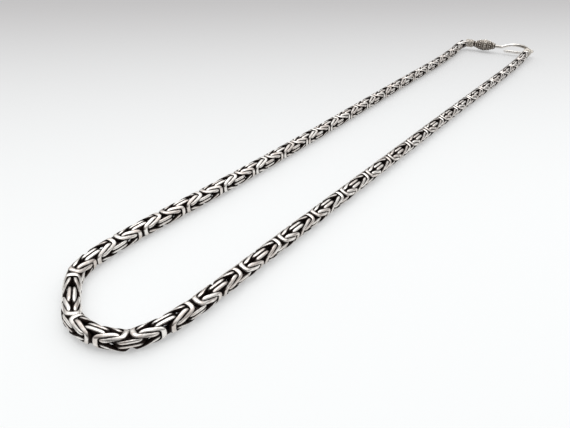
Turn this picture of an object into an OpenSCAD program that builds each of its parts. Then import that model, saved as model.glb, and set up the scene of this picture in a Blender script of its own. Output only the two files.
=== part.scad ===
// Byzantine chain necklace with a barrel bead and a hook clasp, lying as a long closed loop
// Millimetres, +Z up, +Y along the loop from its near bend to the clasp, resting on z = 0

/* [Chain] */
// Width of the woven chain across its flats
chain_w = 3.6; // [3.5:0.05:3.7]
// Number of sides of the chain's envelope
chain_sides = 8; // [8:4:12]

/* [End caps] */
// Outer diameter of both end caps
cap_d = 3.2; // [3.1:0.05:3.4]
// Wall of the cup that takes the chain's last links
cap_wall = 0.3; // [0.25:0.05:0.35]
// Depth of that cup
cup_depth = 1.5; // [1.2:0.1:1.8]
// Length of the cap on the hook's side
hook_cap_l = 3.7; // [3.6:0.1:3.9]
// Length of the cap on the eye's side
eye_cap_l = 4.1; // [4:0.1:4.3]
// Wire radius of the raised rims round both caps
rim_r = 0.2; // [0.15:0.01:0.2]

/* [Barrel bead] */
// Length of the bead
bead_l = 9.2; // [9:0.1:9.4]
// Diameter of the bead's body at its middle, without its granules
bead_d = 4.4; // [4.2:0.1:4.5]
// Diameter of the bead's two ends
bead_end_d = 2.4; // [2.2:0.1:2.6]
// Radius of a granule
granule_r = 0.3; // [0.25:0.01:0.32]
// Granules in the ring round the middle
granules_mid = 18; // [12:2:20]

/* [Hook] */
// Diameter of the hook's wire
hook_wire = 1.3; // [1.2:0.05:1.35]
// Height of the hook's axis above the surface
clasp_z = 3; // [2.9:0.05:3.1]
// Height of the wire's centre at the top of the hook's long arc
hook_top = 4.6; // [4.5:0.05:4.7]
// Radius of the long arc's centre line
arc_r = 12.5; // [12:0.1:13]
// Depth of the shank in the hook's end cap
shank_in_cap = 1.6; // [1.4:0.1:1.8]
// Length of the straight leg that returns to the tip
tip_leg = 8.2; // [7.5:0.1:8.5]

/* [Eye] */
// Radius of the eye's centre line
eye_r = 1.65; // [1.62:0.01:1.68]
// Wire radius of the eye
eye_wire_r = 0.5; // [0.46:0.01:0.5]
// Height of the eye's axis above the surface
eye_z = 2.7; // [2.6:0.05:2.8]

/* [Fits] */
// Gap between neighbouring pieces
gap = 0.1; // [0.05:0.01:0.12]

/* [Hidden] */
$fn = 64;
chain_r = chain_w / 2;
cap_r = cap_d / 2;
cup_r = cap_r - cap_wall;
bead_r = bead_d / 2;
bead_end_r = bead_end_d / 2;
hook_r = hook_wire / 2;
bore_r = hook_r + gap / 2;
plug_r = 1.1;
plug_l = cup_depth - gap;
// Radius at which the hook's wire turns round the eye's wire
turn_r = hook_r + eye_wire_r + gap;
// Direction of the hook's line in plan, and of the cap on the eye's side
clasp_turn = 21;
eye_turn = 93;

// The chain's centre line from the hook's cap, down one strand, round the near bend and back
// Columns: x, y
ROUTE = [
    [-13.05, 102.41], [-14.3, 101.3], [-14.4, 99.6], [-13.6, 93], [-12.9, 85], [-12.3, 76],
    [-11.9, 67], [-11.7, 58], [-11.6, 49], [-11.5, 40], [-11.4, 31], [-11.2, 22], [-11, 13],
    [-10.8, 4], [-10.6, -5], [-10.4, -14], [-10.2, -23], [-10.1, -32], [-10, -41], [-10, -50],
    [-10, -59], [-10.1, -68], [-10.3, -77], [-10.6, -86], [-10.7, -94], [-10.3, -100.3],
    [-9.2, -106.2], [-4.4, -109.8], [0.8, -113.6], [6.5, -113.3], [12, -110.8], [14, -105.1],
    [14.6, -99.1], [14.6, -91], [14.5, -82], [14.4, -73], [14.4, -64], [14.3, -55], [14.3, -46],
    [14.2, -37], [14.2, -28], [14.1, -19], [14.1, -10], [14, -1], [14, 8], [13.9, 17],
    [13.9, 26], [13.9, 35], [13.9, 44], [13.9, 53], [13.9, 62], [13.9, 71], [13.8, 80],
    [13.6, 89], [13.3, 98], [13, 106.6]
];
last = len(ROUTE) - 1;
// Middle of the whole loop's box in the route's own coordinates
middle = [0.1, -0.42];
// Route points over which the chain climbs to the hook's height
climb_points = 4;

// Unit vector at an angle in plan, and the one to its right
function unit(turn) = [cos(turn), sin(turn), 0];
function right_of(h) = [h.y, -h.x, 0];
function direction(a, b) = (b - a) / norm(b - a);

function climb(i) =
    i == last ? eye_z - chain_r
    : (clasp_z - chain_r) * max(0, 1 - i / climb_points);
function station(i) = [ROUTE[i].x - middle.x, ROUTE[i].y - middle.y, chain_r + climb(i)];
function between(i) = direction(ROUTE[i], ROUTE[i + 1]);
function bend_heading(i) = direction([0, 0], between(i - 1) + between(i));
function heading(i) =
    i == 0 ? -unit(clasp_turn)
    : i == last ? unit(eye_turn)
    : [bend_heading(i).x, bend_heading(i).y, 0];

// Ring of n points round a centre, in the plane of two unit vectors; r is the distance to its flats
function ring(centre, across, up, r, n) = [
    for (k = [0 : n - 1])
        let (a = 360 / n * (k + 0.5))
        centre + r / cos(180 / n) * (cos(a) * across + sin(a) * up)
];
function chain_ring(i, along, r) =
    ring(station(i) + along * heading(i), right_of(heading(i)), [0, 0, 1], r, chain_sides);

function chain_rings() = concat(
    [chain_ring(0, -plug_l, plug_r), chain_ring(0, gap, plug_r), chain_ring(0, gap, chain_r)],
    [for (i = [1 : last - 1]) chain_ring(i, 0, chain_r)],
    [chain_ring(last, -gap, chain_r), chain_ring(last, -gap, plug_r)],
    [chain_ring(last, plug_l, plug_r)]
);

// Closed tube through a list of rings of n points each
module sweep(rings, n) {
    m = len(rings);
    sides = [
        for (i = [0 : m - 2], k = [0 : n - 1])
            [i * n + k, i * n + (k + 1) % n, (i + 1) * n + (k + 1) % n, (i + 1) * n + k]
    ];
    near_end = [[for (k = [0 : n - 1]) n - 1 - k]];
    far_end = [[for (k = [0 : n - 1]) (m - 1) * n + k]];
    polyhedron([for (one = rings) each one], concat(sides, near_end, far_end), convexity = 10);
}

// Places children with +X along the hook's line and x = 0 at the mouth of the hook's cap
module on_hook_line() {
    translate(station(0))
        rotate([0, 0, clasp_turn])
            children();
}

// Places children with +X out of the chain's other end and x = 0 at the mouth of the eye's cap
module on_eye_line() {
    translate(station(last))
        rotate([0, 0, eye_turn])
            children();
}

// Solid of revolution about +X from an outline of [x, radius] rows
module turned(outline) {
    rotate([90, 0, 90])
        rotate_extrude()
            polygon([for (p = outline) [p.y, p.x]]);
}

// Ring of round wire about the X axis
module wire_ring(x, ring_r, wire_r) {
    translate([x, 0, 0])
        rotate([0, 90, 0])
            rotate_extrude()
                translate([ring_r, 0])
                    circle(wire_r, $fn = 32);
}

// Ring of half sunk granules about the X axis
module granule_ring(x, ring_r, ball_r, count) {
    for (k = [0 : count - 1])
        rotate([360 / count * k, 0, 0])
            translate([x, 0, ring_r])
                sphere(ball_r, $fn = 32);
}

// Cup that takes the chain's last links, with a raised rim round each end
module cap_shell(length, nose_r) {
    turned([
        [0, cup_r], [0, cap_r], [length - 2 * rim_r, cap_r], [length, nose_r],
        [length, 0], [cup_depth, 0], [cup_depth, cup_r]
    ]);
    wire_ring(rim_r, cap_r, rim_r);
    wire_ring(length - 3 * rim_r, cap_r, rim_r);
}

module chain() {
    color("silver") sweep(chain_rings(), chain_sides);
}

module hook_end_cap() {
    color("silver")
        on_hook_line()
            difference() {
                cap_shell(hook_cap_l - gap, bead_end_r);
                translate([hook_cap_l - shank_in_cap - gap, 0, 0])
                    rotate([0, 90, 0])
                        cylinder(h = 2 * shank_in_cap, r = bore_r);
            }
}

// Half profile of the bead: a collar at each end and an oval body between them
collar_l = 0.7;
profile_steps = 16;
function body_r(u) = bead_end_r + (bead_r - bead_end_r) * sin(180 * u) ^ 0.8;
function body_x(u) = collar_l + (bead_l - 2 * collar_l) * u;

module barrel_bead() {
    shoulder = 0.22;
    color("dimgray")
        on_hook_line()
            translate([hook_cap_l, 0, 0])
                difference() {
                    union() {
                        turned(concat(
                            [[0, 0], [0, bead_end_r]],
                            [for (i = [0 : profile_steps])
                                let (u = i / profile_steps)
                                [body_x(u), body_r(u)]],
                            [[bead_l, bead_end_r], [bead_l, 0]]
                        ));
                        wire_ring(collar_l, bead_end_r + rim_r / 2, rim_r);
                        wire_ring(bead_l - collar_l, bead_end_r + rim_r / 2, rim_r);
                        granule_ring(bead_l / 2, bead_r, granule_r, granules_mid);
                        for (u = [shoulder, 1 - shoulder])
                            granule_ring(body_x(u), body_r(u), granule_r, granules_mid - 4);
                    }
                    translate([-gap, 0, 0])
                        rotate([0, 90, 0])
                            cylinder(h = bead_l + 2 * gap, r = bore_r);
                }
}

// The hook lies in the upright plane of its line: x along the line, z up from the shank's axis
// A long arc runs from the shank over the eye, and a tight bend turns back under the eye's wire
// The bend's centre is where the eye's wire crosses the hook's line
bend_x = 13.08;
bend_z = eye_z - clasp_z;
arc_z = hook_top - clasp_z - arc_r;
arc_x = bend_x - sqrt((arc_r - turn_r) ^ 2 - (bend_z - arc_z) ^ 2);
shank_l = arc_x - sqrt(arc_r ^ 2 - arc_z ^ 2);
arc_from = atan2(-arc_z, shank_l - arc_x);
arc_to = atan2(bend_z - arc_z, bend_x - arc_x);
shank_in = bead_l + shank_in_cap - gap;
hook_sides = 12;
arc_steps = 14;
bend_steps = 10;
tip_steps = 4;

// Points of the wire's centre line, each with the angle of its outward normal
// Columns: x, z, angle, wire radius
function arc_row(u) =
    let (a = arc_from + (arc_to - arc_from) * u)
    [arc_x + arc_r * cos(a), arc_z + arc_r * sin(a), a, hook_r];
function bend_row(u) =
    let (a = arc_to - (arc_to + 90) * u)
    [bend_x + turn_r * cos(a), bend_z + turn_r * sin(a), a, hook_r];
function tip_row(u) =
    [bend_x - tip_leg - hook_r * sin(90 * u), bend_z - turn_r, -90, hook_r * cos(90 * u)];
function hook_rows() = concat(
    [[-shank_in, 0, 90, hook_r], [shank_l - hook_r, 0, 90, hook_r]],
    [for (k = [0 : arc_steps]) arc_row(k / arc_steps)],
    [for (k = [1 : bend_steps]) bend_row(k / bend_steps)],
    [for (k = [0 : tip_steps - 1]) tip_row(k / tip_steps)]
);
function hook_ring(row) =
    ring([row[0], 0, row[1]], [0, 1, 0], [cos(row[2]), 0, sin(row[2])], row[3] * cos(180 / hook_sides),
        hook_sides);

module hook() {
    color("gainsboro")
        on_hook_line()
            translate([hook_cap_l + bead_l, 0, 0])
                sweep([for (row = hook_rows()) hook_ring(row)], hook_sides);
}

module eye_end_cap() {
    nose_r = 0.9;
    color("silver")
        on_eye_line() {
            cap_shell(eye_cap_l, nose_r);
            translate([eye_cap_l + eye_r, 0, 0])
                rotate_extrude()
                    translate([eye_r, 0])
                        circle(eye_wire_r, $fn = 32);
        }
}

chain();
hook_end_cap();
barrel_bead();
hook();
eye_end_cap();
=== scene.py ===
"""Byzantine chain necklace on a pale surface: the woven links, the clasp, the light and the camera."""

import math

import bpy
import numpy as np
from mathutils import Matrix, Vector


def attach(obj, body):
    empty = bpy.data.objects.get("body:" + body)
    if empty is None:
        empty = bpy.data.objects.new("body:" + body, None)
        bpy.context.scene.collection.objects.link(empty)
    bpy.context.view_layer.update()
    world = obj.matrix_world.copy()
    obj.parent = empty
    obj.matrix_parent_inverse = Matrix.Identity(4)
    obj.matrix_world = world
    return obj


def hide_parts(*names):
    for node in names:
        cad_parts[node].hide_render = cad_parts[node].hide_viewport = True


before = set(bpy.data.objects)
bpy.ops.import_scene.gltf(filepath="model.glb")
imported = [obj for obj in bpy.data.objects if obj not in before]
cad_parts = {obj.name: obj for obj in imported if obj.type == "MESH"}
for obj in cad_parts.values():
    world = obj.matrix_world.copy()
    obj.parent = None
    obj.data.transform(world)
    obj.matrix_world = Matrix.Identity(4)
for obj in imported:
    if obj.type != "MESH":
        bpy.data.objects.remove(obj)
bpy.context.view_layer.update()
MM = 0.001
rng = np.random.default_rng(7)

# The chain's route, as the CAD part has it, in millimetres: x, y
ROUTE = [
    (-13.05, 102.41), (-14.3, 101.3), (-14.4, 99.6), (-13.6, 93), (-12.9, 85), (-12.3, 76),
    (-11.9, 67), (-11.7, 58), (-11.6, 49), (-11.5, 40), (-11.4, 31), (-11.2, 22), (-11, 13),
    (-10.8, 4), (-10.6, -5), (-10.4, -14), (-10.2, -23), (-10.1, -32), (-10, -41), (-10, -50),
    (-10, -59), (-10.1, -68), (-10.3, -77), (-10.6, -86), (-10.7, -94), (-10.3, -100.3),
    (-9.2, -106.2), (-4.4, -109.8), (0.8, -113.6), (6.5, -113.3), (12, -110.8), (14, -105.1),
    (14.6, -99.1), (14.6, -91), (14.5, -82), (14.4, -73), (14.4, -64), (14.3, -55), (14.3, -46),
    (14.2, -37), (14.2, -28), (14.1, -19), (14.1, -10), (14, -1), (14, 8), (13.9, 17),
    (13.9, 26), (13.9, 35), (13.9, 44), (13.9, 53), (13.9, 62), (13.9, 71), (13.8, 80),
    (13.6, 89), (13.3, 98), (13, 106.6),
]
MIDDLE = (0.1, -0.42)
FRONT_CORNER = (0.8, -113.6)
CHAIN_R = 1.8
CLASP_Z = 3.0
EYE_Z = 2.7
CLIMB_POINTS = 4
CLASP_TURN = math.radians(21)
EYE_TURN = math.radians(93)

# The weave, in millimetres
# A repeat is two half repeats, the second turned a quarter turn about the chain
HALF = 6.0
WIRE_R = 0.39
EYE_LINK = dict(half_l=2.10, half_w=1.285, square=(3.55, 3.55))
FOLD_LINK = dict(half_l=2.13, half_w=1.395, square=(2.85, 2.40))
END_LINK = dict(half_l=1.5, half_w=1.0, square=(2.6, 2.6))
END_WIRE_R = 0.25
END_SHIFT = 0.5
PAIR_GAP = 0.404
FOLD_SHIFT = 0.33
FOLD_CLOSED = 0.404
FOLD_OPEN = 1.26
FOLD_BOW = 0.073
FOLD_SWAY = 0.146
BAR_FROM = 0.80
BAR_SPREAD = 0.55
BAR_TRIM = 0.10
BAR_FLAT = 2.5
FLAT_FROM = 1.50
FLAT_TO = 1.80
LINK_TURN_SPREAD = 0.012
LINK_PLACE_SPREAD = 0.008

# Where the wire counts as inside the weave and spreads there, in millimetres but for the facing
INSIDE_R = 1.55
INSIDE_SOFT = 0.3
INSIDE_FACING = 0.4
PRESSED_GAP = 0.05
PRESSED_MOST = 0.34

# How finely each link is meshed
LINK_RINGS = 52
LINK_SIDES = 14

# The stretch at each cap's mouth whose inner wires are rubbed too, and how much more they are
MOUTH_L = 4.5
MOUTH_RUBBED = 1.1
MOUTH_FACING = 1.3

# How far the weave's upper face leans towards the inside of the loop
# Columns: distance from the front corner along the chain in millimetres, degrees
LEAN = [
    (-222, -4), (-90, -4), (-70, -5), (-58, -7), (-44, -5), (-34, -6), (-22, 4), (-12, 8),
    (-6, 13), (0, 12), (6, 10), (14, 5), (22, -4), (36, -20), (50, -16), (64, -12), (76, -21),
    (90, -26), (150, -14), (230, 0),
]

# Where the weave sits closer up or further on than even spacing would put it
# Columns: distance from the front corner along the chain, how much further on, in millimetres
DRIFT = [
    (-222, 0), (-102, 1.6), (-78, 1.2), (-54, 1.0), (-36, 0.95), (-18, 1.15), (-6, 1.1), (0, 0.8),
    (6, 0.2), (12, 0), (48, 0.3), (84, 0.7), (108, 0.6), (230, 0),
]


def unit(turn):
    """Unit vector in plan at an angle from +X."""
    return np.array([math.cos(turn), math.sin(turn), 0.0])


def station(i):
    """A route point in the part's frame, with its height."""
    climb = (CLASP_Z - CHAIN_R) * max(0.0, 1 - i / CLIMB_POINTS)
    if i == len(ROUTE) - 1:
        climb = EYE_Z - CHAIN_R
    return np.array([ROUTE[i][0] - MIDDLE[0], ROUTE[i][1] - MIDDLE[1], CHAIN_R + climb])


class Centreline:
    """The chain's smooth centre line, measured from the front corner in half repeats of the weave."""

    STEP = 0.1
    SOFT = 1.3
    RUN_ON = 9.0

    def __init__(self):
        last = len(ROUTE) - 1
        into_hook_cap = station(0) + self.RUN_ON * unit(CLASP_TURN)
        into_eye_cap = station(last) + self.RUN_ON * unit(EYE_TURN)
        corners = [into_hook_cap] + [station(i) for i in range(last + 1)] + [into_eye_cap]
        self.points = self._softened(np.array(corners))
        run = np.linalg.norm(np.diff(self.points, axis=0), axis=1)
        self.lengths = np.concatenate([[0.0], np.cumsum(run)])
        front = self._nearest(station(ROUTE.index(FRONT_CORNER)))
        self.to_hook = front - self._nearest(station(0))
        self.to_eye = self._nearest(station(last)) - front
        self.front = front
        self.halves_to_hook = round(self.to_hook / HALF)
        self.halves_to_eye = round(self.to_eye / HALF)

    def _softened(self, corners):
        run = np.concatenate([[0.0], np.cumsum(np.linalg.norm(np.diff(corners, axis=0), axis=1))])
        s = np.arange(0.0, run[-1], self.STEP)
        line = np.stack([np.interp(s, run, corners[:, a]) for a in range(3)], axis=1)
        reach = int(4 * self.SOFT / self.STEP)
        offsets = np.arange(-reach, reach + 1) * self.STEP
        weights = np.exp(-0.5 * (offsets / self.SOFT) ** 2)
        weights /= weights.sum()
        return np.stack([np.convolve(line[:, a], weights, mode="valid") for a in range(3)], axis=1)

    def _nearest(self, place):
        return self.lengths[np.argmin(np.linalg.norm(self.points - place, axis=1))]

    def arc(self, x):
        """Arc length of a place given in the straight weave's own millimetres."""
        behind = x * self.to_hook / (self.halves_to_hook * HALF)
        ahead = x * self.to_eye / (self.halves_to_eye * HALF)
        table = np.array(DRIFT, float)
        drift = np.interp(x, table[:, 0], table[:, 1])
        return self.front + np.where(x < 0, behind, ahead) + drift

    def point(self, x):
        s = self.arc(np.asarray(x, float))
        return np.stack([np.interp(s, self.lengths, self.points[:, a]) for a in range(3)], axis=-1)

    def lean(self, x):
        """Lean of the weave about the centre line, in radians."""
        table = np.array(LEAN, float)
        return math.radians(float(np.interp(x, table[:, 0], table[:, 1])))


def oval(half_l, half_w, square, rings):
    """Evenly spaced points round a squarish oval in the plane of x and y; it may be squarer at one end."""
    a = np.linspace(0, 2 * math.pi, 721)
    c, s = np.cos(a), np.sin(a)
    power = 2 / np.where(c < 0, square[0], square[1])
    line = np.stack([
        half_l * np.sign(c) * np.abs(c) ** power,
        half_w * np.sign(s) * np.abs(s) ** power,
    ], axis=1)
    run = np.concatenate([[0.0], np.cumsum(np.linalg.norm(np.diff(line, axis=0), axis=1))])
    even = np.linspace(0, run[-1], rings, endpoint=False)
    return np.stack([np.interp(even, run, line[:, k]) for k in range(2)], axis=1)


def closed_wire(line, wire_r, sides):
    """Vertices and outward normals of round wire along a closed line that lies near the x y plane."""
    ahead = np.roll(line, -1, axis=0) - np.roll(line, 1, axis=0)
    ahead /= np.linalg.norm(ahead, axis=1, keepdims=True)
    side = np.cross(ahead, [0.0, 0.0, 1.0])
    side /= np.linalg.norm(side, axis=1, keepdims=True)
    up = np.cross(side, ahead)
    a = np.linspace(0, 2 * math.pi, sides, endpoint=False)
    normals = np.cos(a)[None, :, None] * side[:, None] + np.sin(a)[None, :, None] * up[:, None]
    return (line[:, None] + wire_r * normals).reshape(-1, 3), normals.reshape(-1, 3)


def grid_faces(rings, sides, closed=True):
    """Quads of a tube of rings, each of as many points as the tube has sides."""
    i = np.arange(rings if closed else rings - 1)[:, None]
    k = np.arange(sides)[None, :]
    here, there = i * sides, ((i + 1) % rings) * sides
    after = (k + 1) % sides
    quads = np.stack([here + k, here + after, there + after, there + k], axis=-1)
    return quads.reshape(-1, 4)


def eye_link(side):
    """One of the two links that lie flat side by side between two knots, centred at x = 0."""
    flat = oval(rings=LINK_RINGS, **EYE_LINK)
    line = np.column_stack([flat, np.full(len(flat), side * PAIR_GAP)])
    return closed_wire(line, WIRE_R, LINK_SIDES)


def fold_link():
    """A link of a knot: closed up at its left end and spread over the next eye at its right end."""
    flat = oval(rings=LINK_RINGS, **FOLD_LINK)
    u = (flat[:, 0] / FOLD_LINK["half_l"] + 1) / 2
    spread = u - FOLD_SWAY * np.sin(2 * math.pi * u)
    height = FOLD_CLOSED + (FOLD_OPEN - FOLD_CLOSED) * spread + FOLD_BOW * np.sin(math.pi * u)
    line = np.column_stack([flat[:, 0] + HALF / 2 + FOLD_SHIFT, flat[:, 1], height])
    v, n = closed_wire(line, WIRE_R, LINK_SIDES)
    return beaten(v, n, np.repeat(u, LINK_SIDES))


def beaten(v, n, u):
    """Broadens and flattens the upper side of a link's open end, where the finished weave is worn."""
    share = np.clip((u - BAR_FROM) / (1 - BAR_FROM), 0, 1) * np.sqrt(np.clip(n[:, 2], 0, 1))
    push = np.where(n[:, 0] < 0, BAR_SPREAD, -BAR_TRIM) * n[:, 0] * share
    broad = v + np.column_stack([push, np.zeros((len(v), 2))])
    flat = n * np.column_stack([np.ones((len(n), 2)), 1 + BAR_FLAT * share])
    return broad, flat / np.linalg.norm(flat, axis=1, keepdims=True)


def end_link():
    """The single thinner link that holds the last knot in its cap."""
    flat = oval(rings=LINK_RINGS, **END_LINK)
    return closed_wire(np.column_stack([flat, np.zeros(len(flat))]), END_WIRE_R, LINK_SIDES)


def quarter_turn(v, turns):
    """Vectors turned about x by quarter turns."""
    for _ in range(turns % 4):
        v = np.column_stack([v[:, 0], -v[:, 2], v[:, 1]])
    return v


def back_to_front(v, about):
    """Vectors of a knot's link turned to make its partner, which faces the other way."""
    return np.column_stack([2 * about - v[:, 0], v[:, 2], v[:, 1]])


def half_repeat(turn):
    """Half a repeat of the straight weave: each link's vertices, normals, and the x of its two ends."""
    eye_half = EYE_LINK["half_l"]
    fold_v, fold_n = fold_link()
    fold_from = HALF / 2 + FOLD_SHIFT - FOLD_LINK["half_l"]
    fold_to = HALF / 2 + FOLD_SHIFT + FOLD_LINK["half_l"]
    partner_v, partner_n = back_to_front(fold_v, HALF / 2), back_to_front(fold_n, 0)
    rows = [(*eye_link(side), -eye_half, eye_half, turn) for side in (-1, 1)]
    for half_turn in (0, 2):
        rows.append((fold_v, fold_n, fold_from, fold_to, 1 + turn + half_turn))
        rows.append((partner_v, partner_n, HALF - fold_to, HALF - fold_from, 1 + turn + half_turn))
    return [(quarter_turn(v, t), quarter_turn(n, t), start, end) for v, n, start, end, t in rows]


def outwardness(v, n):
    """Distance of each vertex from the chain's axis, and how far its normal points away from it."""
    r = np.hypot(v[:, 1], v[:, 2])
    return r, (v[:, 1] * n[:, 1] + v[:, 2] * n[:, 2]) / np.maximum(r, 1e-6)


def pressed(links):
    """How much the wire spreads inside the weave, at each vertex of each link of a half repeat.

    Links that were pressed together in making fill most of the room between them.
    """
    before = [v - [HALF, 0, 0] for v, _, _, _ in half_repeat(1)]
    after = [v + [HALF, 0, 0] for v, _, _, _ in half_repeat(1)]
    spreads = []
    for k, (v, n, _, _) in enumerate(links):
        others = np.concatenate(before + after + [link[0] for j, link in enumerate(links) if j != k])
        square = (v ** 2).sum(1)[:, None] + (others ** 2).sum(1)[None] - 2 * v @ others.T
        room = np.sqrt(np.maximum(square.min(axis=1), 0))
        r, facing = outwardness(v, n)
        turned_in = np.clip((INSIDE_FACING - facing) / INSIDE_FACING, 0, 1)
        inside = turned_in * np.clip((INSIDE_R - r) / INSIDE_SOFT, 0, 1)
        spreads.append(np.clip((room - PRESSED_GAP) / 2, 0, PRESSED_MOST) * inside)
    return spreads


def filed(v):
    """Flattens the outside of the weave, as when the finished chain is drawn through a plate."""
    r = np.hypot(v[:, 1], v[:, 2])
    room = FLAT_TO - FLAT_FROM
    over = np.maximum(r - FLAT_FROM, 0)
    scale = np.where(over > 0, (FLAT_FROM + room * np.tanh(over / room)) / np.maximum(r, 1e-9), 1.0)
    return np.column_stack([v[:, 0], v[:, 1] * scale, v[:, 2] * scale])


def placed(v, start, end, origin, path):
    """A link's vertices moved rigidly from the straight weave to the centre line, a little unevenly."""
    a, b = path.point(origin + start), path.point(origin + end)
    along = (b - a) / np.linalg.norm(b - a)
    inside = np.cross([0.0, 0.0, 1.0], along)
    inside /= np.linalg.norm(inside)
    up = np.cross(along, inside)
    lean = path.lean(origin + (start + end) / 2) + rng.normal(0, LINK_TURN_SPREAD)
    top = math.cos(lean) * up + math.sin(lean) * inside
    across = np.cross(top, along)
    middle = (a + b) / 2 + rng.normal(0, LINK_PLACE_SPREAD, 3)
    local = v - [(start + end) / 2, 0, 0]
    return middle + local[:, :1] * along + local[:, 1:2] * across + local[:, 2:3] * top


def raised_at_caps(x, n, r, facing, first, final):
    """Outwardness of vertices, raised next to the caps, where the inner wires are worn too."""
    from_cap = np.minimum(x - first * HALF, final * HALF - x)
    bare = np.clip(1 - from_cap / MOUTH_L, 0, 1)
    towards_cap = MOUTH_FACING * n[:, 0] * np.sign(x)
    return r + MOUTH_RUBBED * bare, np.where(bare > 0, np.maximum(facing, towards_cap), facing)


def weave(path):
    """Every link of the chain in order, as vertices and the outwardness and facing that rub them."""
    repeats = [half_repeat(0), half_repeat(1)]
    spreads = pressed(repeats[0])
    first, final = -path.halves_to_hook, path.halves_to_eye
    end_half = END_LINK["half_l"]
    links = []

    def add(v, n, spread, start, end, origin):
        thick = v + n * np.reshape(spread, (-1, 1))
        outward, facing = raised_at_caps(v[:, 0] + origin, n, *outwardness(v, n), first, final)
        links.append((placed(filed(thick), start, end, origin, path), outward, facing))

    for k in range(first, final + 1):
        turn = k % 2
        if k in (first, final):
            inward = END_SHIFT if k == first else -END_SHIFT
            v, n = (quarter_turn(a, turn) for a in end_link())
            shift = [inward, 0, 0]
            add(v + shift, n, np.zeros(len(v)), inward - end_half, inward + end_half, k * HALF)
        for j, (v, n, start, end) in enumerate(repeats[turn]):
            is_eye = j < 2
            if (is_eye and k not in (first, final)) or (not is_eye and k < final):
                add(v, n, spreads[j], start, end, k * HALF)
    return links


def mesh_piece(name, vertices, faces, material, nodes, attributes=None):
    """Makes one piece of the object from arrays in millimetres."""
    mesh = bpy.data.meshes.new(name)
    mesh.from_pydata((np.asarray(vertices) * MM).tolist(), [], np.asarray(faces).tolist())
    for key, values in (attributes or {}).items():
        layer = mesh.attributes.new(key, "FLOAT", "POINT")
        layer.data.foreach_set("value", np.asarray(values, np.float32))
    mesh.polygons.foreach_set("use_smooth", [True] * len(mesh.polygons))
    mesh.materials.append(material)
    mesh.update()
    piece = bpy.data.objects.new(name, mesh)
    bpy.context.scene.collection.objects.link(piece)
    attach(piece, "root")
    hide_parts(*nodes)
    return piece


def chain_pieces(path, material):
    """The woven chain in four stretches, named from the hook round to the eye."""
    links = weave(path)
    faces = grid_faces(LINK_RINGS, LINK_SIDES)
    names = ("links_hook_side", "links_front_hook_side", "links_front_eye_side", "links_eye_side")
    for name, share in zip(names, np.array_split(np.arange(len(links)), len(names))):
        vertices = np.concatenate([links[i][0] for i in share])
        outward = np.concatenate([links[i][1] for i in share])
        facing = np.concatenate([links[i][2] for i in share])
        quads = np.concatenate([faces + n * LINK_RINGS * LINK_SIDES for n in range(len(share))])
        tint = np.repeat(rng.uniform(0, 1, len(share)), LINK_RINGS * LINK_SIDES)
        mesh_piece(name, vertices, quads, material, ["chain"],
                   {"outward": outward, "facing": facing, "tint": tint})


class Nodes:
    """Small helper that adds shader nodes and joins them."""

    def __init__(self, name=None, tree=None):
        if name:
            self.material = bpy.data.materials.new(name)
            self.material.use_nodes = True
            self.shader = self.material.node_tree.nodes["Principled BSDF"]
        self.tree = tree or self.material.node_tree

    def add(self, kind, **values):
        node = self.tree.nodes.new(kind)
        for key, value in values.items():
            setattr(node, key, value)
        return node

    def join(self, source, target):
        self.tree.links.new(source, target)

    def attribute(self, name):
        return self.add("ShaderNodeAttribute", attribute_name=name).outputs["Fac"]

    def noise(self, scale, detail, distortion=0.0):
        place = self.add("ShaderNodeTexCoord")
        node = self.add("ShaderNodeTexNoise")
        node.inputs["Scale"].default_value = scale
        node.inputs["Detail"].default_value = detail
        node.inputs["Distortion"].default_value = distortion
        self.join(place.outputs["Object"], node.inputs["Vector"])
        return node.outputs["Fac"]

    def spread(self, source, low, high, to_low=0.0, to_high=1.0, smooth=True):
        node = self.add("ShaderNodeMapRange")
        node.interpolation_type = "SMOOTHSTEP" if smooth else "LINEAR"
        for key, value in (("From Min", low), ("From Max", high), ("To Min", to_low), ("To Max", to_high)):
            node.inputs[key].default_value = value
        self.join(source, node.inputs["Value"])
        return node.outputs["Result"]

    def math(self, operation, a, b):
        node = self.add("ShaderNodeMath", operation=operation)
        for socket, value in zip(node.inputs, (a, b)):
            if isinstance(value, (int, float)):
                socket.default_value = value
            else:
                self.join(value, socket)
        return node.outputs["Value"]

    def mix_colour(self, factor, a, b):
        node = self.add("ShaderNodeMix", data_type="RGBA")
        self.join(factor, node.inputs["Factor"])
        for socket, value in ((node.inputs["A"], a), (node.inputs["B"], b)):
            if isinstance(value, tuple):
                socket.default_value = (*value, 1.0)
            else:
                self.join(value, socket)
        return node.outputs["Result"]

    def bump(self, height, strength, distance):
        node = self.add("ShaderNodeBump")
        node.inputs["Strength"].default_value = strength
        node.inputs["Distance"].default_value = distance
        self.join(height, node.inputs["Height"])
        self.join(node.outputs["Normal"], self.shader.inputs["Normal"])


# Colours of the metal
BRIGHT_SILVER = (0.90, 0.87, 0.83)
WARM_SILVER = (0.66, 0.595, 0.55)
OXIDE = (0.016, 0.009, 0.007)
POLISHED_SILVER = (0.95, 0.93, 0.90)
HANDLED_SILVER = (0.84, 0.80, 0.75)
PAINTED_SHADE_SILVER = (0.16, 0.135, 0.11)
GRANULE_SILVER = (0.78, 0.73, 0.66)
BLACKENED_SILVER = (0.075, 0.056, 0.043)

# Where the woven wire is rubbed clean: distances from the chain's axis in millimetres, then its facing
RUBBED_FROM = 1.28
RUBBED_TO = 1.56
CREST_FROM = 1.45
CREST_TO = 1.72
TURNED_FROM = 0.50
TURNED_TO = 0.92


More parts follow.
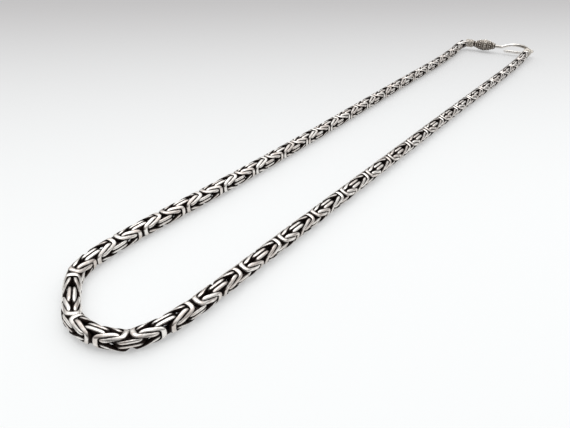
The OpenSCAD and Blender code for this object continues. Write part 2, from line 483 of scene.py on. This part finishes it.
def woven_silver():
    """Bright wire, worn clean on the outside of the weave and blackened in its recesses."""
    m = Nodes("woven_silver")
    patches = m.noise(2200, 3)
    wear_and_painted_light = m.math("ADD", m.attribute("outward"), m.spread(patches, 0.3, 0.7, -0.08, 0.08))
    high = m.spread(wear_and_painted_light, RUBBED_FROM, RUBBED_TO)
    worn = m.spread(m.attribute("outward"), CREST_FROM, CREST_TO, -0.14, 0.06)
    uneven = m.math("ADD", worn, m.spread(patches, 0.3, 0.7, -0.06, 0.06))
    turned_out = m.math("ADD", m.attribute("facing"), uneven)
    clean = m.math("MULTIPLY", high, m.spread(turned_out, TURNED_FROM, TURNED_TO))
    link_by_link = m.spread(m.attribute("tint"), 0, 1, -0.14, 0.14, smooth=False)
    streaks = m.spread(m.math("ADD", m.noise(700, 3, 1.0), link_by_link), 0.35, 0.68)
    silver = m.mix_colour(streaks, BRIGHT_SILVER, WARM_SILVER)
    m.join(m.mix_colour(clean, OXIDE, silver), m.shader.inputs["Base Color"])
    m.join(m.spread(clean, 0, 1, 0.5, 1.0), m.shader.inputs["Metallic"])
    wear = m.spread(m.noise(3200, 3), 0.3, 0.7, 0.15, 0.26)
    m.join(m.math("ADD", wear, m.spread(clean, 0, 1, 0.35, 0.0)), m.shader.inputs["Roughness"])
    m.shader.inputs["Specular IOR Level"].default_value = 0.2
    m.bump(m.noise(2600, 3), 0.07, 0.00003)
    return m.material


def polished_silver():
    """Plain polished wire with faint handling marks, and painted shade that darkens parts of the hook's
    wire.
    """
    m = Nodes("polished_silver")
    handled = m.spread(m.noise(500, 3), 0.35, 0.7)
    colour = m.mix_colour(handled, POLISHED_SILVER, HANDLED_SILVER)
    # Painted shade: the hook's wire darkens towards this colour where it is painted as shaded
    m.join(m.mix_colour(m.attribute("wear_and_painted_light"), PAINTED_SHADE_SILVER, colour), m.shader.inputs["Base Color"])
    m.shader.inputs["Metallic"].default_value = 1.0
    m.join(m.spread(m.noise(3000, 4), 0.3, 0.7, 0.10, 0.24), m.shader.inputs["Roughness"])
    m.bump(m.noise(2500, 3), 0.15, 0.00003)
    return m.material


def oxidised_silver():
    """Blackened ground with granules, collars and wires worn bright, with painted light that makes the bead
    lighter towards its top.
    """
    m = Nodes("oxidised_silver")
    # The relief attribute carries painted light as well: the bead is painted lighter towards its top
    wear_and_painted_light = m.math("ADD", m.attribute("relief"), m.spread(m.noise(2600, 3), 0.3, 0.7, -0.18, 0.18))
    clean = m.spread(wear_and_painted_light, 0.35, 0.95)
    m.join(m.mix_colour(clean, BLACKENED_SILVER, GRANULE_SILVER), m.shader.inputs["Base Color"])
    m.join(m.spread(clean, 0, 1, 0.5, 1.0), m.shader.inputs["Metallic"])
    m.join(m.spread(clean, 0, 1, 0.5, 0.25), m.shader.inputs["Roughness"])
    m.bump(m.noise(4200, 4), 0.35, 0.00005)
    return m.material


def on_line(v, start, turn):
    """Vertices turned from a straight +X line to a cap's own line."""
    along, left = unit(turn), unit(turn + math.pi / 2)
    v = np.asarray(v, float)
    return start + v[:, :1] * along + v[:, 1:2] * left + v[:, 2:3] * [0, 0, 1]


class Relief:
    """Gathers turned bodies, wires and granules about the X axis into one mesh with their relief."""

    def __init__(self):
        self.vertices, self.faces, self.relief, self.count = [], [], [], 0

    def add(self, vertices, faces, relief):
        self.vertices.append(np.asarray(vertices, float))
        self.faces.extend((np.asarray(faces) + self.count).tolist())
        self.relief.append(np.broadcast_to(np.asarray(relief, float), (len(vertices),)).copy())
        self.count += len(vertices)

    def turned(self, outline, relief, sides=72):
        """A closed body of revolution from rows of x and radius."""
        outline = np.asarray(outline, float)
        a = np.linspace(0, 2 * math.pi, sides, endpoint=False)
        v = np.stack([
            np.repeat(outline[:, 0], sides),
            (outline[:, 1:2] * np.cos(a)).ravel(),
            (outline[:, 1:2] * np.sin(a)).ravel(),
        ], axis=1)
        quads = grid_faces(len(outline), sides, closed=False)[:, ::-1]
        self.add(v, quads, np.repeat(np.broadcast_to(relief, (len(outline),)), sides))

    def wire(self, x, ring_r, wire_r, twists=0, relief=0.9, rings=96, sides=12):
        """A ring of wire about the axis; a twisted one is two strands wound round each other."""
        a = np.linspace(0, 2 * math.pi, rings, endpoint=False)
        strands = (0.0,) if twists == 0 else (0.0, math.pi)
        for phase in strands:
            off = 0.0 if twists == 0 else wire_r
            swing = twists * a + phase
            radius = ring_r + off * np.cos(swing)
            line = np.stack([radius * np.cos(a), radius * np.sin(a), x + off * np.sin(swing)], axis=1)
            v, _ = closed_wire(line, wire_r, sides)
            self.add(v[:, [2, 0, 1]], grid_faces(rings, sides), relief)

    def granules(self, x, ring_r, ball_r, count, phase=0.0, relief=1.0, rings=8, sides=12):
        """A ring of small balls about the axis."""
        lat = np.linspace(-math.pi / 2, math.pi / 2, rings + 1)
        a = np.linspace(0, 2 * math.pi, sides, endpoint=False)
        ball = np.stack([
            (np.cos(lat)[:, None] * np.cos(a)).ravel(),
            (np.cos(lat)[:, None] * np.sin(a)).ravel(),
            np.repeat(np.sin(lat), sides),
        ], axis=1) * ball_r
        faces = grid_faces(rings + 1, sides, closed=False)
        for turn in np.arange(count) * 2 * math.pi / count + phase:
            centre = np.array([x, ring_r * math.cos(turn), ring_r * math.sin(turn)])
            self.add(ball + centre, faces, relief)

    def piece(self, name, start, turn, material, nodes, lift=0.0, painted_top_light=0.0):
        """Makes the piece, with its relief raised by lift all over and raised further towards its very top
        as painted light.
        """
        v = np.concatenate(self.vertices)
        # Painted light: the relief rises with height, so the top of the piece is painted lighter than its
        # underside
        relief = np.concatenate(self.relief) + lift + painted_top_light * v[:, 2] / v[:, 2].max()
        return mesh_piece(name, on_line(v, start, turn), self.faces, material, nodes,
                          {"relief": relief})


# How much more than its recesses a part is worn bright all over, and how much lighter the bead's top is
# painted, as painted light
CAP_LIFT = 0.28
BEAD_LIFT = 0.02
BEAD_TOP_LIGHT = 0.55

# Painted light and shade along the hook: low shares paint shade on its wire, by the bead and past the top
# of its arc
# Columns: distance along its wire from the bead in millimetres, share
HOOK_PAINTED_LIGHT = [(0, 0.1), (1.5, 0.2), (3.5, 0.95), (7.5, 0.95), (11, 0.35), (15, 0.5), (18, 1), (26, 1)]

# The clasp's sizes, as the CAD part has them, in millimetres
CAP_R = 1.6
CUP_R = 1.3
CUP_DEPTH = 1.5
HOOK_CAP_L = 3.6
EYE_CAP_L = 4.1
RIM_R = 0.2
BEAD_START = 3.7
BEAD_L = 9.2
BEAD_R = 2.2
BEAD_END_R = 1.2
COLLAR_L = 0.7
GRANULE_R = 0.3
GRANULES_MID = 18
SHOULDER = 0.22
HOOK_R = 0.65
HOOK_TOP = 4.6
HOOK_ARC_R = 12.5
HOOK_TURN_R = 1.25
HOOK_BEND_X = 13.08
SHANK_IN = 10.7
TIP_LEG = 8.2
EYE_R = 1.65
EYE_WIRE_R = 0.5
EYE_NOSE_R = 0.9

# The caps' fine relief: twisted wires either side of the waist, and grains
CAP_WIRE_R = 0.07
CAP_WIRE_OFF = 0.62
CAP_TWISTS = 36
RIM_GRANULES = 24
WAIST_GRAIN_R = 0.13
WAIST_GRAINS = 30
WAIST_STEP = 0.3

# The bead's fine relief: places are shares of its length from its end
BEAD_WIRE_R = 0.08
BEAD_WIRE_OFF = 0.5
BEAD_TWISTS = 40
FIELD_ROWS = (0.36, 0.33, 0.30)
FIELD_GRAIN_R = 0.13
FIELD_GRAINS = 22
COLLAR_ROW = 0.10
COLLAR_GRAIN_R = 0.16
COLLAR_GRAINS = 20


def body_r(u):
    """Radius of the bead at a share of the length between its collars."""
    return BEAD_END_R + (BEAD_R - BEAD_END_R) * np.sin(math.pi * u) ** 0.8


def body_x(u):
    """Place along the bead of a share of the length between its collars."""
    return COLLAR_L + (BEAD_L - 2 * COLLAR_L) * u


def cap(length, nose_r):
    """A cup for the chain's last links, with granules round its rims and its waist."""
    shape = Relief()
    neck = length - 2 * RIM_R
    shape.turned([
        (CUP_DEPTH, 0.0), (CUP_DEPTH, CUP_R), (0.05, CUP_R), (0, CUP_R + 0.05), (0, CAP_R - 0.05),
        (0.05, CAP_R), (neck, CAP_R), (length, nose_r), (length, 0.0),
    ], [0, 0, 0.1, 0.6, 0.6, 0.3, 0.3, 0.5, 0.5])
    shape.granules(RIM_R, CAP_R, RIM_R, RIM_GRANULES)
    shape.granules(length - 3 * RIM_R, CAP_R, RIM_R, RIM_GRANULES)
    middle = length / 2 - RIM_R
    shape.wire(middle - CAP_WIRE_OFF, CAP_R + 0.02, CAP_WIRE_R, twists=CAP_TWISTS)
    shape.wire(middle + CAP_WIRE_OFF, CAP_R + 0.02, CAP_WIRE_R, twists=CAP_TWISTS)
    for row in (-1, 0, 1):
        shape.granules(middle + WAIST_STEP * row, CAP_R - 0.02, WAIST_GRAIN_R, WAIST_GRAINS,
                       phase=row * math.pi / WAIST_GRAINS)
    return shape


def hook_end_cap(material):
    """The cap between the chain and the bead."""
    start = station(0)
    shape = cap(HOOK_CAP_L, BEAD_END_R)
    shape.piece("dressed_hook_end_cap", start, CLASP_TURN, material, ["hook_end_cap"], lift=CAP_LIFT)


def eye_end_cap(material):
    """The eye's cap with the eye soldered to its nose."""
    shape = cap(EYE_CAP_L, EYE_NOSE_R)
    a = np.linspace(0, 2 * math.pi, 72, endpoint=False)
    line = np.stack([EYE_R * np.cos(a), EYE_R * np.sin(a), np.zeros(72)], axis=1)
    v, _ = closed_wire(line, EYE_WIRE_R, 20)
    shape.add(v + [EYE_CAP_L + EYE_R, 0, 0], grid_faces(72, 20), 1.2)
    start = station(len(ROUTE) - 1)
    shape.piece("dressed_eye_end_cap", start, EYE_TURN, material, ["eye_end_cap"], lift=CAP_LIFT)


def barrel_bead(material):
    """Oval bead with twisted wires, rings of granules and fields of finer grains."""
    shape = Relief()
    u = np.linspace(0, 1, 41)
    outline = [(0, HOOK_R), (0, BEAD_END_R)]
    outline += list(zip(body_x(u), body_r(u)))
    outline += [(BEAD_L, BEAD_END_R), (BEAD_L, HOOK_R)]
    shape.turned(outline, 0.05)
    for x in (COLLAR_L, BEAD_L - COLLAR_L):
        shape.wire(x, BEAD_END_R + RIM_R / 2, RIM_R, relief=0.8)
    shape.granules(BEAD_L / 2, BEAD_R, GRANULE_R, GRANULES_MID)
    for side in (-1, 1):
        shape.wire(BEAD_L / 2 + side * BEAD_WIRE_OFF, BEAD_R + 0.02, BEAD_WIRE_R, twists=BEAD_TWISTS)
        shoulder = 0.5 + side * (0.5 - SHOULDER)
        shape.granules(body_x(shoulder), body_r(shoulder), GRANULE_R * 0.9, GRANULES_MID - 4)
        for step, place in enumerate(FIELD_ROWS):
            spot = 0.5 + side * (0.5 - place)
            shape.granules(body_x(spot), body_r(spot), FIELD_GRAIN_R, FIELD_GRAINS,
                           phase=step * math.pi / FIELD_GRAINS)
        near_collar = 0.5 + side * (0.5 - COLLAR_ROW)
        shape.granules(body_x(near_collar), body_r(near_collar), COLLAR_GRAIN_R, COLLAR_GRAINS)
    start = station(0) + BEAD_START * unit(CLASP_TURN)
    # Painted light on the bead: its top is painted lighter than its underside
    shape.piece("dressed_barrel_bead", start, CLASP_TURN, material, ["barrel_bead"],
                lift=BEAD_LIFT, painted_top_light=BEAD_TOP_LIGHT)


def hook_line():
    """Centre line of the hook in its upright plane, with the angle of its outward normal and its radius."""
    bend_z = EYE_Z - CLASP_Z
    arc_z = HOOK_TOP - CLASP_Z - HOOK_ARC_R
    arc_x = HOOK_BEND_X - math.sqrt((HOOK_ARC_R - HOOK_TURN_R) ** 2 - (bend_z - arc_z) ** 2)
    shank_l = arc_x - math.sqrt(HOOK_ARC_R ** 2 - arc_z ** 2)
    arc_from = math.atan2(-arc_z, shank_l - arc_x)
    arc_to = math.atan2(bend_z - arc_z, HOOK_BEND_X - arc_x)
    rows = [(-SHANK_IN, 0.0, math.pi / 2, HOOK_R), (shank_l - HOOK_R, 0.0, math.pi / 2, HOOK_R)]
    for a in np.linspace(arc_from, arc_to, 40):
        rows.append((arc_x + HOOK_ARC_R * math.cos(a), arc_z + HOOK_ARC_R * math.sin(a), a, HOOK_R))
    for a in np.linspace(arc_to, -math.pi / 2, 28)[1:]:
        x = HOOK_BEND_X + HOOK_TURN_R * math.cos(a)
        rows.append((x, bend_z + HOOK_TURN_R * math.sin(a), a, HOOK_R))
    tip_x = HOOK_BEND_X - TIP_LEG
    for a in np.linspace(0, math.pi / 2, 10):
        x = tip_x - HOOK_R * math.sin(a)
        rows.append((x, bend_z - HOOK_TURN_R, -math.pi / 2, HOOK_R * math.cos(a)))
    return np.array(rows)


def hook(material, sides=24):
    """The hook's round wire, swept along its centre line."""
    rows = hook_line()
    a = np.linspace(0, 2 * math.pi, sides, endpoint=False)[None, :, None]
    level = np.zeros(len(rows))
    outward = np.stack([np.cos(rows[:, 2]), level, np.sin(rows[:, 2])], axis=1)[:, None]
    centres = np.stack([rows[:, 0], level, rows[:, 1]], axis=1)[:, None]
    around = np.cos(a) * np.array([0.0, 1.0, 0.0]) + np.sin(a) * outward
    rings = centres + rows[:, 3][:, None, None] * around
    start = station(0) + (BEAD_START + BEAD_L) * unit(CLASP_TURN)
    faces = grid_faces(len(rows), sides, closed=False)
    steps = np.hypot(np.diff(rows[:, 0]), np.diff(rows[:, 1]))
    run = np.concatenate([[0.0], np.cumsum(steps)]) - SHANK_IN
    # Painted shade along the hook's wire, darkest by the bead and past the top of its arc
    table = np.array(HOOK_PAINTED_LIGHT, float)
    # This share paints shade on the hook, not wear
    wear_and_painted_light = np.repeat(np.interp(run, table[:, 0], table[:, 1]), sides)
    mesh_piece("dressed_hook", on_line(rings.reshape(-1, 3), start, CLASP_TURN), faces, material,
               ["hook"], {"wear_and_painted_light": wear_and_painted_light})


# The photograph's camera, solved in the part's frame: place in millimetres, angles in degrees
CAMERA_PLACE = (65.0, -142.58, 67.3)
CAMERA_HEADING = 35.5
CAMERA_PITCH = 34.04
CAMERA_ROLL = 3.31
FOCAL_PIXELS = 517.0
PHOTO_WIDTH = 570

# The direction in which the floor is painted darker towards the back as painted shade, and where that
# starts and ends along it, in metres
FLOOR_HEADING = 52.0
FLOOR_NEAR = -0.07
FLOOR_FAR = 0.215
FLOOR_PALE = (0.511, 0.522, 0.524)
FLOOR_SHADE_GREY = (0.126, 0.117, 0.119)
FLOOR_HALF = 3.0

# How brightly the floor glows by itself, as painted light with no lamp under it, which lightens its shadows
# and lights the chain from below
FLOOR_PAINTED_GLOW = 0.36

# How bright the tent is near the floor, overhead, and on the camera's side against the rest
TENT_LOW = 0.38
TENT_TOP = 1.25
TENT_CAMERA_SIDE = 0.20

# The soft lamp overhead, in metres and watts
LAMP_PLACE = (-0.12, 0.1, 0.8)
LAMP_SIZE = 0.9
LAMP_POWER = 2.6


def camera():
    """The camera at the photograph's place, for a frame of the photograph's width."""
    heading, pitch, roll = (math.radians(v) for v in (CAMERA_HEADING, CAMERA_PITCH, CAMERA_ROLL))
    level = np.array([math.cos(heading), math.sin(heading), 0.0])
    forward = np.array([
        -math.sin(heading) * math.cos(pitch), math.cos(heading) * math.cos(pitch), -math.sin(pitch),
    ])
    up = np.cross(level, forward)
    right = math.cos(roll) * level + math.sin(roll) * up
    top = math.cos(roll) * up - math.sin(roll) * level
    data = bpy.data.cameras.new("camera")
    data.sensor_width = 36.0
    data.lens = FOCAL_PIXELS / PHOTO_WIDTH * data.sensor_width
    data.clip_start, data.clip_end = 0.005, 20.0
    obj = bpy.data.objects.new("camera", data)
    basis = np.stack([right, top, -forward], axis=1)
    obj.matrix_world = Matrix.Translation([v * MM for v in CAMERA_PLACE]) @ Matrix(basis.tolist()).to_4x4()
    bpy.context.scene.collection.objects.link(obj)
    bpy.context.scene.camera = obj


def along(m, vector, heading):
    """How far a vector reaches along a level heading, in degrees from +Y towards -X."""
    turn = math.radians(heading)
    node = m.add("ShaderNodeVectorMath", operation="DOT_PRODUCT")
    m.join(vector, node.inputs[0])
    node.inputs[1].default_value = (-math.sin(turn), math.cos(turn), 0.0)
    return node.outputs["Value"]


def floor():
    """A wide white surface with painted shade that turns it pale grey towards the back."""
    m = Nodes("floor")
    reach = along(m, m.add("ShaderNodeTexCoord").outputs["Object"], FLOOR_HEADING)
    # Painted shade: the floor's colour turns grey towards the back
    away = m.spread(reach, FLOOR_NEAR, FLOOR_FAR)
    m.join(m.mix_colour(away, FLOOR_PALE, FLOOR_SHADE_GREY), m.shader.inputs["Base Color"])
    # Painted light: the floor glows by itself, with no lamp under it
    m.shader.inputs["Emission Color"].default_value = (1.0, 1.0, 1.0, 1.0)
    m.shader.inputs["Emission Strength"].default_value = FLOOR_PAINTED_GLOW
    m.shader.inputs["Roughness"].default_value = 0.7
    m.shader.inputs["Specular IOR Level"].default_value = 0.15
    mesh = bpy.data.meshes.new("floor")
    corners = [(x * FLOOR_HALF, y * FLOOR_HALF, 0) for x, y in ((-1, -1), (1, -1), (1, 1), (-1, 1))]
    mesh.from_pydata(corners, [], [(0, 1, 2, 3)])
    mesh.materials.append(m.material)
    obj = bpy.data.objects.new("floor", mesh)
    bpy.context.scene.collection.objects.link(obj)


def area_light(name, place, aim, size, power):
    """A round soft lamp that points at a place."""
    data = bpy.data.lights.new(name, "AREA")
    data.shape = "DISK"
    data.size = size
    data.energy = power
    obj = bpy.data.objects.new(name, data)
    obj.location = place
    obj.rotation_mode = "QUATERNION"
    obj.rotation_quaternion = (Vector(aim) - Vector(place)).to_track_quat("-Z", "Y")
    bpy.context.scene.collection.objects.link(obj)


def tent():
    """The white tent as the sky: bright overhead and at the back, dark on the camera's side."""
    world = bpy.data.worlds.new("tent")
    bpy.context.scene.world = world
    world.use_nodes = True
    m = Nodes(tree=world.node_tree)
    direction = m.add("ShaderNodeTexCoord").outputs["Generated"]
    split = m.add("ShaderNodeSeparateXYZ")
    m.join(direction, split.inputs["Vector"])
    height = m.spread(split.outputs["Z"], 0.0, 0.8, TENT_LOW, TENT_TOP)
    behind_camera = m.spread(along(m, direction, CAMERA_HEADING), -0.9, 0.0, TENT_CAMERA_SIDE, 1.0)
    background = world.node_tree.nodes["Background"]
    background.inputs["Color"].default_value = (1.0, 1.0, 1.0, 1.0)
    m.join(m.math("MULTIPLY", height, behind_camera), background.inputs["Strength"])


def light():
    tent()
    area_light("overhead", LAMP_PLACE, (0, 0, 0), LAMP_SIZE, LAMP_POWER)
    bpy.context.scene.view_settings.view_transform = "Standard"


def main():
    path = Centreline()
    chain_pieces(path, woven_silver())
    oxidised = oxidised_silver()
    hook_end_cap(oxidised)
    barrel_bead(oxidised)
    eye_end_cap(oxidised)
    hook(polished_silver())
    floor()
    light()
    camera()


main()
